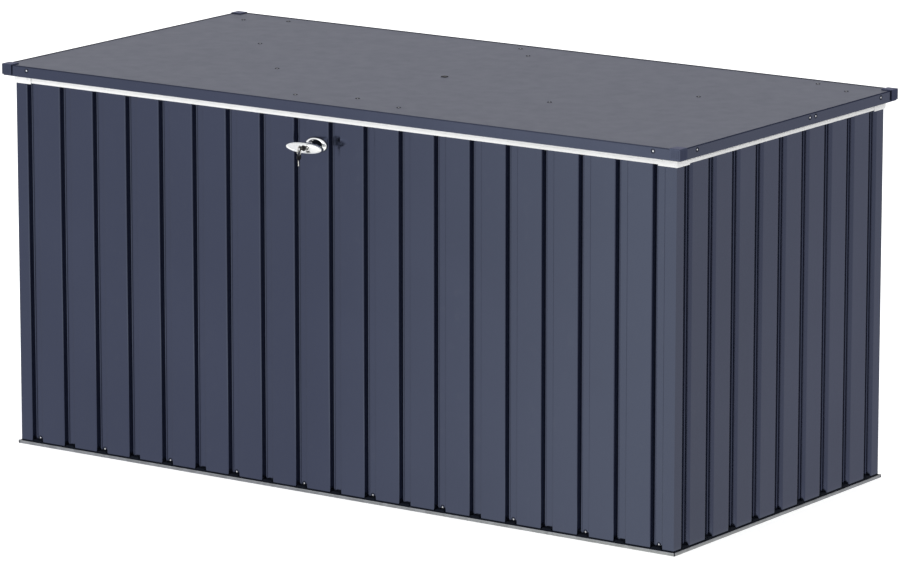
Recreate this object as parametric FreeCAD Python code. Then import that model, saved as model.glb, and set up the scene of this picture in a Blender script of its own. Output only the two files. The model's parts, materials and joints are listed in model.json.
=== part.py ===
import FreeCAD, Part
import math
import os

V = FreeCAD.Vector

# Deck storage box of corrugated painted sheet steel, with a flat lid on back hinges.
# Millimetres. Origin at the middle of the base, on the ground: +X right, +Y back, +Z up.

# ---- driving sizes -------------------------------------------------------------------
BOX_WIDTH = 1802.0          # over the proud flats of the left and right walls
BOX_DEPTH = 852.0           # over the proud flats of the front and back walls
RIM_HEIGHT = 853.0          # ground to the lower edge of the white top rails
SHEET = 0.8                 # wall and lid sheet

RIB_PITCH = 95.0            # from one sunk rib to the next
RIB_WIDTH = 32.0            # mouth of a sunk rib
RIB_DEPTH = 12.0            # outer flat to outer rib floor
RIB_SLANT = 5.0             # sideways run of each rib web
RIB_BEND = 2.4              # middle radius of the bends in the sheet
LEAST_FLAT = 22.0           # least flat between a corner and the first rib

RAIL_GAUGE = 1.2            # galvanised base rail
RAIL_LIP = 7.0              # height of its outer lip
RAIL_OUT = 4.7              # its outer face beyond the wall flats
RAIL_UPSTAND = 27.0         # height of its inner leg
RAIL_SCREW_Z = 15.7         # screws through the rib floors into the inner leg

FLOOR_HEIGHT = 20.0         # top of the floor bearers
BEARER_WIDTH = 70.0
BEARER_COUNT = 3

POST_LEG = 24.0             # corner post, an angle
POST_GAUGE = 1.5

STIFFENER_HEIGHT = 50.0     # channel round the inside of the walls
STIFFENER_DEPTH = 15.0
STIFFENER_GAUGE = 1.2
STIFFENER_Z = 560.0         # its mid height, also the lower pivot of the struts

TOP_RAIL_RISE = 32.0        # white top rail, skirt height above RIM_HEIGHT
TOP_RAIL_GAUGE = 1.5        # its top and inner leg
TOP_RAIL_INNER = 25.0       # height of its inner leg
SKIRT = 2.0                 # its outer skirt
GROOVE_Z = 7.2              # groove in the skirt above its lower edge
GROOVE_HEIGHT = 1.4
GROOVE_DEPTH = 1.0
RAIL_PLAY = 0.4             # play round the corrugated sheet in the top rail

BRACKET_LEG = 45.0          # white outer corner bracket
BRACKET_GAUGE = 2.0
BRACKET_DROP = 2.2          # below the top rail's lower edge
BRACKET_TOP = 27.0          # its top above the top rail's lower edge
BRACKET_SCREW = 36.0        # from the box corner
BRACKET_SCREW_Z = 9.6       # above the top rail's lower edge

LID_OVERHANG = 20.8         # beyond the wall flats, all round
LID_GAP = 15.5              # top rail's lower edge to the fascia's lower edge
FASCIA_HEIGHT = 24.5        # to the top of the lid
FASCIA_GAUGE = 1.2
FASCIA_FLANGE = 15.0        # under the lid panel
FASCIA_HEM = 3.0            # turned in at the bottom
FASCIA_SCREW = 68.0         # from the lid's corner
FASCIA_SCREW_DROP = 8.5     # below the top of the lid

CAP_SIZE = 27.7             # corner cap, square
CAP_OUT = 2.6               # proud of the fascia and of the lid panel
CAP_DROP = 21.8             # below the top of the lid

BRACE_WIDTH = 30.0          # hat sections under the lid panel
BRACE_HEIGHT = 18.0
BRACE_GAUGE = 1.2
BRACE_END = 14.0            # beyond the end screws
BRACE_SIDE_INSET = 79.8     # a diagonal's back screw from the lid's side edge
BRACE_BACK_INSET = 84.8     # and from its back edge
BRACE_FRONT_X = 141.5       # its front screw from the middle
BRACE_FRONT_INSET = 69.8    # and from the lid's front edge
CENTRE_BRACE_INSET = 110.8  # end screws of the brace down the middle
PLUG_SIZE = 12.5            # square plug at the middle of the lid

HEAD_RADIUS = 4.0           # dome-head screws
HEAD_HEIGHT = 2.4
SHANK_RADIUS = 2.0
SHANK_LENGTH = 8.0
HOLE_PLAY = 0.25            # round a shank

HINGE_INSET = 160.0         # outer hinges from the wall flats
HINGE_MIDDLE = -69.0
HINGE_LENGTH = 70.0
HINGE_PIN = 2.5             # radius
HINGE_KNUCKLE = 4.2         # outer radius
HINGE_GAUGE = 2.0
HINGE_DROP = 30.0           # lower leaf below the pin
HINGE_OFF = 8.0             # pin from the top rail's skirt
HINGE_BELOW_FASCIA = 4.8    # pin below the fascia's lower edge
HINGE_REACH = 20.0          # screws in the upper leaves, in from the back wall's flats
RUNNING_FIT = 0.05          # radial
KNUCKLE_GAP = 0.5           # between knuckles along the pin
LID_OPEN = 75.0             # degrees

STRUT_INSET = 43.0          # strut axis from the side wall's flats
STRUT_LOW_INSET = 126.0     # lower pivot from the back wall's flats
STRUT_TOP_Y = 90.0          # upper pivot on the closed lid
STRUT_TOP_RISE = 13.0       # above the top rail's lower edge
TUBE_RADIUS = 9.0
TUBE_WALL = 1.2
TUBE_START = 17.5           # from the lower pivot to the tube
ROD_SHOWN = 51.0            # from the tube's far end to the upper pivot, lid closed
TUBE_END = 6.0              # thickness of the tube's end plugs
PISTON_LENGTH = 10.0
ROD_RADIUS = 4.0
EYE_RADIUS = 9.5
EYE_WIDTH = 8.0
PIVOT_RADIUS = 4.0
PIVOT_GAP = 0.3             # rod eye to the lid bracket's ball stud
STRUT_PLATE = 2.5
STRUT_SCREW_HALF = 12.0     # half the spacing of the pair through the side fascia

LOCK_DROP = 56.0            # below the top rail's lower edge
HANDLE_LENGTH = 98.0
HANDLE_HEIGHT = 24.5
HANDLE_DEPTH = 13.0
HANDLE_ROUND = 2.8          # edge radius, under the tightest curve of the oval's ends
HANDLE_OUT = 50.0           # handle's outer face from the wall flats
LOCK_PLATE_LENGTH = 58.0
LOCK_PLATE_HEIGHT = 34.0
LOCK_PLATE_DEPTH = 5.0
NECK_RADIUS = 11.0          # collar on the lock plate
NECK_LENGTH = 12.0
SPINDLE_RADIUS = 6.0
KEY_BORE = 6.0              # radius of the key cylinder
KEY_DEEP = 18.0
KEY_PROUD = 0.8             # its face from the handle's face
KEY_GAUGE = 2.0
KEY_PLAY = 0.2
BOW_RADIUS = 8.0            # round head of a key
BOW_OUT = 13.0              # its middle from the handle's face
BOW_HOLE = 3.5
BOW_BEVEL = 0.6             # eased edge of the bow's hole, where the ring swings
BLADE_HALF = 2.6            # half the height of a key's blade
BLADE_LENGTH = 13.0
RING_RADIUS = 5.0           # middle radius of the key ring
RING_WIRE = 0.6
RING_PLAY = 0.9             # lets the ring swing in the bow's hole
SPARE_HOLE = 2.2
CAM_LENGTH = 52.0
CAM_WIDTH = 14.0
CAM_GAUGE = 3.0
CAM_TOOTH = 16.0            # hooked end, sideways
CAM_TOOTH_HEIGHT = 9.0
KEEPER_SIDE = 13.5          # keeper plate from the lock's axis
KEEPER_GAUGE = 3.0
KEEPER_DEPTH = 18.0
KEEPER_PLAY = 3.3           # from the top rail's inner leg
KEEPER_BAR = 8.0

# ---- places worked out from them -----------------------------------------------------
HALF_W = BOX_WIDTH / 2
HALF_D = BOX_DEPTH / 2
WALL_IN = RIB_DEPTH + SHEET                     # flats to the inside of the rib floors
RAIL_TOP = RIM_HEIGHT + TOP_RAIL_RISE           # top face of the white rails
SHEET_TOP = RAIL_TOP - TOP_RAIL_GAUGE
FASCIA_LOW = RIM_HEIGHT + LID_GAP
LID_TOP = FASCIA_LOW + FASCIA_HEIGHT
PANEL_LOW = LID_TOP - SHEET
LID_W = HALF_W + LID_OVERHANG
LID_D = HALF_D + LID_OVERHANG
POST_CLEAR = SHEET + POST_LEG + 1.2             # inner legs of the rails stop here
CENTRE_BRACE_Y = LID_D - CENTRE_BRACE_INSET
HINGE_XS = (HINGE_INSET - HALF_W, HINGE_MIDDLE, HALF_W - HINGE_INSET)
HINGE_Y = HALF_D + SKIRT + HINGE_OFF
HINGE_Z = FASCIA_LOW - HINGE_BELOW_FASCIA
STRUT_X = HALF_W - STRUT_INSET
STRUT_LOW_Y = HALF_D - STRUT_LOW_INSET
STRUT_TOP_Z = RIM_HEIGHT + STRUT_TOP_RISE
STRUT_SCREWS = (STRUT_TOP_Y - STRUT_SCREW_HALF, STRUT_TOP_Y + STRUT_SCREW_HALF)
LOCK_Z = RIM_HEIGHT - LOCK_DROP
KEEPER_FRONT = -HALF_D + WALL_IN + RAIL_PLAY + TOP_RAIL_GAUGE + KEEPER_PLAY
CAM_Y = KEEPER_FRONT + KEEPER_DEPTH / 2         # middle of the cam's thickness
STUD_REACH = STRUT_X + EYE_WIDTH / 2 + PIVOT_GAP


def block(x0, x1, y0, y1, z0, z1):
    """Box between two values on each axis, given in either order."""
    low = V(min(x0, x1), min(y0, y1), min(z0, z1))
    return Part.makeBox(abs(x1 - x0), abs(y1 - y0), abs(z1 - z0), low)


def rod(start, end, radius):
    return Part.makeCylinder(radius, (end - start).Length, start, end - start)


def prism(points, along):
    """Closed polygon of points, pushed by a vector."""
    wire = Part.makePolygon(list(points) + [points[0]])
    return Part.Face(wire).extrude(along)


def join(shapes):
    first, rest = shapes[0], shapes[1:]
    return first.multiFuse(rest).removeSplitter() if rest else first


def mirror_x(shape):
    return shape.mirror(V(0, 0, 0), V(1, 0, 0))


def mirror_y(shape):
    return shape.mirror(V(0, 0, 0), V(0, 1, 0))


def four_corners(shape):
    """The front-left piece and its three mirror images."""
    front = [shape, mirror_x(shape)]
    return front + [mirror_y(piece) for piece in front]


# ---- bent sheet ----------------------------------------------------------------------
def offset_edges(points, bend, shift):
    """Edges of a path beside the middle line of a bent sheet, with arcs at its bends."""
    edges = []
    start = None
    for i in range(len(points)):
        here = points[i]
        if i in (0, len(points) - 1):
            other = points[1] if i == 0 else points[i - 1]
            run = (other - here if i == 0 else here - other).normalize()
            point = here + V(-run.y, run.x, 0) * shift
            if start is not None:
                edges.append(Part.LineSegment(start, point).toShape())
            start = point
            continue
        run_in = (here - points[i - 1]).normalize()
        run_out = (points[i + 1] - here).normalize()
        turn = math.atan2(run_in.cross(run_out).z, run_in.dot(run_out))
        side = math.copysign(1, turn)
        back = bend * math.tan(abs(turn) / 2)
        centre = here - run_in * back + V(-run_in.y, run_in.x, 0) * (side * bend)
        radius = bend - side * shift
        spokes = [V(run_in.y, -run_in.x, 0), V(run_out.y, -run_out.x, 0)]
        middle = (spokes[0] + spokes[1]).normalize()
        arc = [centre + spoke * (side * radius) for spoke in (spokes[0], middle, spokes[1])]
        edges.append(Part.LineSegment(start, arc[0]).toShape())
        edges.append(Part.Arc(*arc).toShape())
        start = arc[2]
    return edges


def bent_sheet(points, gauge, bend, along):
    """Sheet whose middle line in XY is points, pushed by a vector."""
    left = offset_edges(points, bend, gauge / 2)
    right = offset_edges(points, bend, -gauge / 2)
    ends = []
    for index in (0, -1):
        a = left[index].Vertexes[index].Point
        b = right[index].Vertexes[index].Point
        ends.append(Part.LineSegment(a, b).toShape())
    wire = Part.Wire(Part.__sortEdges__(left + right + ends))
    return Part.Face(wire).extrude(along)


def rib_starts(length):
    """Near edge of each rib's mouth along a wall, measured from its middle."""
    room = length - 2 * LEAST_FLAT - RIB_WIDTH
    count = int(room // RIB_PITCH) + 1
    first = -((count - 1) * RIB_PITCH + RIB_WIDTH) / 2
    return [first + i * RIB_PITCH for i in range(count)]


def corrugated(length, ribs):
    """Wall standing along X, outer flats on y = 0, ribs sunk towards +Y."""
    flat = SHEET / 2
    deep = RIB_DEPTH + SHEET / 2
    points = [V(-length / 2, flat, 0)]
    for start in ribs:
        end = start + RIB_WIDTH
        points += [V(start, flat, 0), V(start + RIB_SLANT, deep, 0)]
        points += [V(end - RIB_SLANT, deep, 0), V(end, flat, 0)]
    points.append(V(length / 2, flat, 0))
    wall = bent_sheet(points, SHEET, RIB_BEND, V(0, 0, SHEET_TOP - RAIL_GAUGE))
    wall.translate(V(0, 0, RAIL_GAUGE))
    return wall


# ---- screws --------------------------------------------------------------------------
def screw(seat, inward):
    """Dome-head screw whose head sits on seat and whose shank runs inward."""
    radius = (HEAD_RADIUS ** 2 + HEAD_HEIGHT ** 2) / (2 * HEAD_HEIGHT)
    ball = Part.makeSphere(radius, V(0, 0, HEAD_HEIGHT - radius))
    dome = ball.common(Part.makeCylinder(HEAD_RADIUS, HEAD_HEIGHT))
    shank = Part.makeCylinder(SHANK_RADIUS, SHANK_LENGTH, V(0, 0, -SHANK_LENGTH))
    piece = dome.fuse(shank).removeSplitter()
    piece.Placement = FreeCAD.Placement(seat, FreeCAD.Rotation(V(0, 0, -1), inward))
    return piece


def drilled(shape, seats):
    """The shape with a clearance hole for each screw seat."""
    holes = []
    for seat, inward in seats:
        reach = V(inward) * SHANK_LENGTH * 2
        holes.append(rod(seat - reach, seat + reach, SHANK_RADIUS + HOLE_PLAY))
    return shape.cut(holes) if holes else shape


def screws(seats):
    return [screw(seat, inward) for seat, inward in seats]


# ---- walls, base and rim -------------------------------------------------------------
FRONT_RIBS = rib_starts(BOX_WIDTH)
SIDE_RIBS = rib_starts(BOX_DEPTH)
LOCK_X = FRONT_RIBS[len(FRONT_RIBS) // 2] - (RIB_PITCH - RIB_WIDTH) / 2   # flat left of the middle


def base_seats():
    """Base screws: every other rib, starting at the corner rib on front and back."""
    seats = []
    y = HALF_D - RIB_DEPTH
    for start in FRONT_RIBS[::2]:
        x = start + RIB_WIDTH / 2
        seats.append((V(x, -y, RAIL_SCREW_Z), V(0, 1, 0)))
        seats.append((V(x, y, RAIL_SCREW_Z), V(0, -1, 0)))
    x = HALF_W - RIB_DEPTH
    for start in SIDE_RIBS[1::2]:
        y = start + RIB_WIDTH / 2
        seats.append((V(-x, y, RAIL_SCREW_Z), V(1, 0, 0)))
        seats.append((V(x, y, RAIL_SCREW_Z), V(-1, 0, 0)))
    return seats


def facing(seats, direction):
    return [seat for seat in seats if V(seat[1]).dot(direction) > 0.5]


def base_rail(half_length, half_across, inner_half, seats):
    """U channel along X on the front side, for a wall whose flats are at -half_across."""
    out = half_across + RAIL_OUT
    leg = half_across - WALL_IN
    web = block(-half_length, half_length, -out, -leg + RAIL_GAUGE, 0, RAIL_GAUGE)
    lip = block(-half_length, half_length, -out, -out + RAIL_GAUGE, 0, RAIL_LIP)
    leg = block(-inner_half, inner_half, -leg, -leg + RAIL_GAUGE, 0, RAIL_UPSTAND)
    return drilled(join([web, lip, leg]), seats)


def to_side(shape, hand):
    """Turn a front piece to the right (+1) or left (-1) side of the box."""
    turned = shape.copy()
    turned.rotate(V(0, 0, 0), V(0, 0, 1), 90 * hand)
    return turned


def turned_seats(seats, hand):
    """Seats of a side wall, turned to lie on the front side."""
    spin = FreeCAD.Rotation(V(0, 0, 1), -90 * hand)
    return [(spin.multVec(seat), spin.multVec(inward)) for seat, inward in seats]


def build_base(parts):
    seats = base_seats()
    parts["base_screws"] = screws(seats)
    front = facing(seats, V(0, 1, 0))
    rail = base_rail(HALF_W + RAIL_OUT, HALF_D, HALF_W - POST_CLEAR, front)
    parts["base_rail_front"] = rail
    parts["base_rail_back"] = mirror_y(rail)
    for name, hand in (("left", -1), ("right", 1)):
        side = turned_seats(facing(seats, V(-hand, 0, 0)), hand)
        inside = HALF_D - WALL_IN - RAIL_GAUGE
        rail = base_rail(inside, HALF_W, HALF_D - POST_CLEAR, side)
        outer = base_rail(HALF_D + RAIL_OUT - RAIL_GAUGE, HALF_W, 1, [])
        lip = outer.common(block(-HALF_D * 2, HALF_D * 2, -HALF_W * 2, -HALF_W, RAIL_GAUGE, RAIL_LIP))
        parts["base_rail_" + name] = to_side(join([rail, lip]), hand)
    inner_w = HALF_W - WALL_IN - RAIL_GAUGE
    inner_d = HALF_D - WALL_IN - RAIL_GAUGE
    floor = block(-inner_w, inner_w, -inner_d, inner_d, FLOOR_HEIGHT, FLOOR_HEIGHT + SHEET)
    notch = block(HALF_W - POST_CLEAR, HALF_W, HALF_D - POST_CLEAR, HALF_D, 0, FLOOR_HEIGHT * 2)
    floor = floor.cut(four_corners(mirror_x(mirror_y(notch))))
    parts["floor_panel"] = drilled(floor, seats)
    bearers = []
    for i in range(BEARER_COUNT):
        x = (i - (BEARER_COUNT - 1) / 2) * BOX_WIDTH / (BEARER_COUNT + 1)
        half = BEARER_WIDTH / 2
        channel = block(x - half, x + half, -inner_d, inner_d, 0, FLOOR_HEIGHT)
        inside = block(x - half + RAIL_GAUGE, x + half - RAIL_GAUGE, -inner_d, inner_d,
                       RAIL_GAUGE, FLOOR_HEIGHT)
        bearers.append(channel.cut(inside))
    parts["floor_bearers"] = bearers


def build_walls(parts):
    seats = base_seats()
    lock = rod(V(LOCK_X, -HALF_D - 5, LOCK_Z), V(LOCK_X, -HALF_D + WALL_IN, LOCK_Z),
               SPINDLE_RADIUS + 3)
    wall = corrugated(BOX_WIDTH, FRONT_RIBS)
    wall.translate(V(0, -HALF_D, 0))
    back = mirror_y(wall)
    wall = wall.cut(lock)
    parts["wall_front"] = drilled(wall, facing(seats, V(0, 1, 0)) + lock_seats())
    parts["wall_back"] = drilled(back, facing(seats, V(0, -1, 0)))
    for name, hand in (("left", -1), ("right", 1)):
        side = corrugated(BOX_DEPTH - 2 * SHEET, SIDE_RIBS)
        side.translate(V(0, -HALF_W, 0))
        side = drilled(side, turned_seats(facing(seats, V(-hand, 0, 0)), hand))
        parts["wall_" + name] = to_side(side, hand)
    x, y = HALF_W - SHEET, HALF_D - SHEET
    post = block(-x, -x + POST_LEG, -y, -y + POST_LEG, RAIL_GAUGE, SHEET_TOP)
    post = post.cut(block(-x + POST_GAUGE, 0, -y + POST_GAUGE, 0, 0, RAIL_TOP))
    parts["corner_posts"] = four_corners(post)


def stiffener(half_length, half_across):
    """Channel along X against the inside of the front wall's ribs, open to the wall."""
    y0 = -half_across + WALL_IN
    z0 = STIFFENER_Z - STIFFENER_HEIGHT / 2
    z1 = z0 + STIFFENER_HEIGHT
    body = block(-half_length, half_length, y0, y0 + STIFFENER_DEPTH, z0, z1)
    room = block(-half_length, half_length, y0, y0 + STIFFENER_DEPTH - STIFFENER_GAUGE,
                 z0 + STIFFENER_GAUGE, z1 - STIFFENER_GAUGE)
    return body.cut(room)


def build_stiffeners(parts):
    front = stiffener(HALF_W - POST_CLEAR, HALF_D)
    parts["wall_stiffener_front"] = front
    parts["wall_stiffener_back"] = mirror_y(front)
    for name, hand in (("left", -1), ("right", 1)):
        side = stiffener(HALF_D - WALL_IN - STIFFENER_DEPTH - POST_GAUGE, HALF_W)
        side = drilled(side, turned_seats(strut_low_seats(hand), hand))
        parts["wall_stiffener_" + name] = to_side(side, hand)


def top_rail(half_length, half_across, inner_half, skirt_half):
    """Cap along X over the top of the front wall, with a grooved outer skirt."""
    out = half_across + SKIRT
    leg = half_across - WALL_IN - RAIL_PLAY
    web = block(-half_length, half_length, -half_across, -leg + TOP_RAIL_GAUGE, SHEET_TOP, RAIL_TOP)
    skirt = block(-skirt_half, skirt_half, -out, -half_across, RIM_HEIGHT, RAIL_TOP)
    inner = block(-inner_half, inner_half, -leg, -leg + TOP_RAIL_GAUGE,
                  RAIL_TOP - TOP_RAIL_INNER, RAIL_TOP)
    z = RIM_HEIGHT + GROOVE_Z
    groove = block(-half_length * 2, half_length * 2, -out, -out + GROOVE_DEPTH, z, z + GROOVE_HEIGHT)
    return join([web, skirt, inner]).cut(groove)


def bracket_seats():
    """Two screws in each outer corner bracket."""
    z = RIM_HEIGHT + BRACKET_SCREW_Z
    proud = SKIRT + BRACKET_GAUGE
    seats = []
    for sx in (-1, 1):
        for sy in (-1, 1):
            x, y = sx * (HALF_W - BRACKET_SCREW), sy * (HALF_D - BRACKET_SCREW)
            seats.append((V(x, sy * (HALF_D + proud), z), V(0, -sy, 0)))
            seats.append((V(sx * (HALF_W + proud), y, z), V(-sx, 0, 0)))
    return seats


def build_rim(parts):
    seats = bracket_seats()
    inner_y = HALF_D - WALL_IN - RAIL_PLAY - TOP_RAIL_GAUGE
    rail = top_rail(HALF_W, HALF_D, HALF_W - POST_CLEAR, HALF_W + SKIRT)
    parts["top_rail_front"] = drilled(rail, facing(seats, V(0, 1, 0)))
    parts["top_rail_back"] = drilled(mirror_y(rail), facing(seats, V(0, -1, 0)) + hinge_low_seats())
    for name, hand in (("left", -1), ("right", 1)):
        rail = top_rail(inner_y, HALF_W, HALF_D - POST_CLEAR, HALF_D)
        side = turned_seats(facing(seats, V(-hand, 0, 0)), hand)
        parts["top_rail_" + name] = to_side(drilled(rail, side), hand)
    x, y = HALF_W + SKIRT, HALF_D + SKIRT
    z0, z1 = RIM_HEIGHT - BRACKET_DROP, RIM_HEIGHT + BRACKET_TOP
    outer = block(-x - BRACKET_GAUGE, -HALF_W + BRACKET_LEG, -y - BRACKET_GAUGE,
                  -HALF_D + BRACKET_LEG, z0, z1)
    edge = [e for e in outer.Edges if e.BoundBox.XLength + e.BoundBox.YLength < 0.01
            and e.CenterOfMass.x < -x and e.CenterOfMass.y < -y]
    outer = outer.makeFillet(BRACKET_GAUGE, edge)
    angle = outer.cut(block(-x, 0, -y, 0, 0, LID_TOP))
    parts["rim_corner_brackets"] = [drilled(piece, seats) for piece in four_corners(angle)]
    parts["rim_screws"] = screws(seats)
    pierced = facing(seats, V(0, 1, 0)) + facing(seats, V(0, -1, 0))
    for node in ("wall_front", "wall_back"):
        parts[node] = drilled(parts[node], pierced)
    parts["wall_back"] = drilled(parts["wall_back"], hinge_low_seats())
    for name, hand in (("left", -1), ("right", 1)):
        node = "wall_" + name
        parts[node] = drilled(parts[node], facing(seats, V(-hand, 0, 0)))


# ---- lid -----------------------------------------------------------------------------
def brace_points():
    """End screws of the right-hand diagonal brace and the two between them."""
    back = V(LID_W - BRACE_SIDE_INSET, LID_D - BRACE_BACK_INSET, LID_TOP)
    front = V(BRACE_FRONT_X, BRACE_FRONT_INSET - LID_D, LID_TOP)
    return [back + (front - back) * (i / 3.0) for i in range(4)]


def lid_seats():
    """Screws down through the lid panel: braces, then hinges."""
    points = brace_points()
    points += [V(-p.x, p.y, p.z) for p in points]
    points += [V(0, y, LID_TOP) for y in (-CENTRE_BRACE_Y, CENTRE_BRACE_Y)]
    points += [V(x, HALF_D - HINGE_REACH, LID_TOP) for x in HINGE_XS]
    return [(p, V(0, 0, -1)) for p in points]


def fascia_seats():
    z = LID_TOP - FASCIA_SCREW_DROP
    seats = []
    for sy in (-1, 1):
        for x in (-LID_W + FASCIA_SCREW, LID_W - FASCIA_SCREW):
            seats.append((V(x, sy * LID_D, z), V(0, -sy, 0)))
    for sx in (-1, 1):
        for y in (-LID_D + FASCIA_SCREW, LID_D - FASCIA_SCREW) + STRUT_SCREWS:
            seats.append((V(sx * LID_W, y, z), V(-sx, 0, 0)))
    return seats


def fascia(half_length, half_across, seats):
    """Front fascia: outer face, flange under the panel and a small hem."""
    y = -half_across
    face = block(-half_length, half_length, y, y + FASCIA_GAUGE, FASCIA_LOW, PANEL_LOW)
    top = PANEL_LOW - FASCIA_GAUGE
    inset = half_length - FASCIA_FLANGE
    flange = prism([V(-half_length, y, top), V(half_length, y, top),
                    V(inset, y + FASCIA_FLANGE, top), V(-inset, y + FASCIA_FLANGE, top)],
                   V(0, 0, FASCIA_GAUGE))
    inset = half_length - FASCIA_HEM
    hem = prism([V(-half_length, y, FASCIA_LOW), V(half_length, y, FASCIA_LOW),
                 V(inset, y + FASCIA_HEM, FASCIA_LOW), V(-inset, y + FASCIA_HEM, FASCIA_LOW)],
                V(0, 0, FASCIA_GAUGE))
    mitre = prism([V(-half_length, y, 0), V(half_length, y, 0),
                   V(half_length - FASCIA_FLANGE, y + FASCIA_FLANGE, 0),
                   V(-half_length + FASCIA_FLANGE, y + FASCIA_FLANGE, 0)], V(0, 0, LID_TOP))
    return drilled(join([face, flange, hem]).common(mitre), seats)


def hat_section(start, end):
    """Brace under the lid panel between two end screws, open towards the panel's underside."""
    run = V(end.x - start.x, end.y - start.y, 0)
    length = run.Length + 2 * BRACE_END
    run.normalize()
    side = V(-run.y, run.x, 0)
    wall, half = BRACE_GAUGE, BRACE_WIDTH / 2
    low = PANEL_LOW - BRACE_HEIGHT
    foot = half + 8
    outline = [(-foot, PANEL_LOW), (foot, PANEL_LOW), (foot, PANEL_LOW - wall),
               (half, PANEL_LOW - wall), (half, low), (-half, low),
               (-half, PANEL_LOW - wall), (-foot, PANEL_LOW - wall)]
    origin = V(start.x, start.y, 0) - run * BRACE_END
    outer = prism([origin + side * a + V(0, 0, b) for a, b in outline], run * length)
    half -= wall
    inner = [(-half, PANEL_LOW - wall), (half, PANEL_LOW - wall), (half, low + wall), (-half, low + wall)]
    return outer.cut(prism([origin + side * a + V(0, 0, b) for a, b in inner], run * length))


def build_lid(parts):
    seats = lid_seats()
    square = PLUG_SIZE / 2 - 1.5
    panel = block(-LID_W, LID_W, -LID_D, LID_D, PANEL_LOW, LID_TOP)
    top_edges = [e for e in panel.Edges if e.BoundBox.ZMin > LID_TOP - SHEET / 2]
    panel = panel.makeFillet(SHEET * 0.7, top_edges)
    panel = panel.cut(block(-square, square, -square, square, PANEL_LOW, LID_TOP))
    parts["lid_panel"] = drilled(panel, seats)
    parts["lid_screws"] = screws(seats)
    edge = fascia_seats()
    parts["fascia_screws"] = screws(edge)
    parts["lid_fascia_front"] = fascia(LID_W, LID_D, facing(edge, V(0, 1, 0)))
    parts["lid_fascia_back"] = mirror_y(parts["lid_fascia_front"])
    for name, hand in (("left", -1), ("right", 1)):
        side = fascia(LID_D, LID_W, turned_seats(facing(edge, V(-hand, 0, 0)), hand))
        parts["lid_fascia_" + name] = to_side(side, hand)
    right = drilled(hat_section(*brace_points()[::3]), seats)
    parts["diagonal_brace_right"] = right
    parts["diagonal_brace_left"] = mirror_x(right)
    middle = hat_section(V(0, -CENTRE_BRACE_Y, 0), V(0, CENTRE_BRACE_Y, 0))
    middle = middle.cut(block(-square, square, -square, square, PANEL_LOW - BRACE_GAUGE * 2, LID_TOP))
    parts["centre_brace"] = drilled(middle, seats)
    stem = square - HOLE_PLAY
    plug = block(-PLUG_SIZE / 2, PLUG_SIZE / 2, -PLUG_SIZE / 2, PLUG_SIZE / 2, LID_TOP, LID_TOP + 1.6)
    plug = plug.makeChamfer(0.7, [e for e in plug.Edges if e.BoundBox.ZMin > LID_TOP + 1])
    stem = block(-stem, stem, -stem, stem, PANEL_LOW - 3, LID_TOP)
    parts["centre_plug"] = plug.fuse(stem).removeSplitter()
    for name, piece in zip(("front_left", "front_right", "back_left", "back_right"),
                           four_corners(corner_cap())):
        parts["corner_cap_" + name] = piece


def corner_cap():
    """Moulded cap over the lid's front-left corner: a top plate and two skirts."""
    x, y = -LID_W - CAP_OUT, -LID_D - CAP_OUT
    outer = block(x, x + CAP_SIZE, y, y + CAP_SIZE, LID_TOP - CAP_DROP, LID_TOP + CAP_OUT)
    edges = [e for e in outer.Edges
             if e.BoundBox.ZMin > LID_TOP or (e.BoundBox.ZLength > 1 and e.CenterOfMass.x < x + 1
                                              and e.CenterOfMass.y < y + 1)]
    outer = outer.makeFillet(1.2, edges)
    return outer.cut(block(-LID_W, 0, -LID_D, 0, 0, LID_TOP))


# ---- hinges --------------------------------------------------------------------------
def hinge_low_seats():
    seats = []
    z = HINGE_Z - HINGE_DROP + 8
    for x in HINGE_XS:
        for dx in (-HINGE_LENGTH / 3, HINGE_LENGTH / 3):
            seats.append((V(x + dx, HALF_D + SKIRT + HINGE_GAUGE, z), V(0, -1, 0)))
    return seats


def knuckle(x0, x1):
    barrel = rod(V(x0, HINGE_Y, HINGE_Z), V(x1, HINGE_Y, HINGE_Z), HINGE_KNUCKLE)
    return barrel


def hinge_bore(x0, x1):
    return rod(V(x0 - 1, HINGE_Y, HINGE_Z), V(x1 + 1, HINGE_Y, HINGE_Z), HINGE_PIN + RUNNING_FIT)


def lower_leaf(x):
    """Plate on the top rail's skirt, with the two outer knuckles and an arm to each."""
    half = HINGE_LENGTH / 2
    inner = HINGE_LENGTH / 6 + KNUCKLE_GAP / 2
    y0 = HALF_D + SKIRT
    plate = block(x - half, x + half, y0, y0 + HINGE_GAUGE, HINGE_Z - HINGE_DROP,
                  HINGE_Z - HINGE_KNUCKLE - 1)
    pieces = [plate]
    for a, b in ((x - half, x - inner), (x + inner, x + half)):
        arm = prism([V(a, y0, HINGE_Z - HINGE_KNUCKLE - 1.5), V(a, y0 + HINGE_GAUGE, HINGE_Z - HINGE_DROP / 2),
                     V(a, HINGE_Y + HINGE_KNUCKLE / 2, HINGE_Z - HINGE_KNUCKLE * 0.8),
                     V(a, HINGE_Y - HINGE_KNUCKLE / 2, HINGE_Z)], V(b - a, 0, 0))
        pieces += [arm, knuckle(a, b)]
    return join(pieces).cut(hinge_bore(x - half, x + half))


def upper_leaf(x):
    """Middle knuckle and a strap that rises behind the rim and runs under the lid panel."""
    inner = HINGE_LENGTH / 6 - KNUCKLE_GAP / 2
    y1 = HINGE_Y + HINGE_KNUCKLE
    y0 = y1 - HINGE_GAUGE
    rise = block(x - inner, x + inner, y0, y1, HINGE_Z, PANEL_LOW)
    reach = HALF_D - HINGE_REACH - HEAD_RADIUS * 2.5
    strap = block(x - inner, x + inner, reach, y1, PANEL_LOW - HINGE_GAUGE, PANEL_LOW)
    leaf = join([knuckle(x - inner, x + inner), rise, strap])
    leaf = leaf.cut(hinge_bore(x - inner, x + inner))
    return drilled(leaf, lid_seats())


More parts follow.
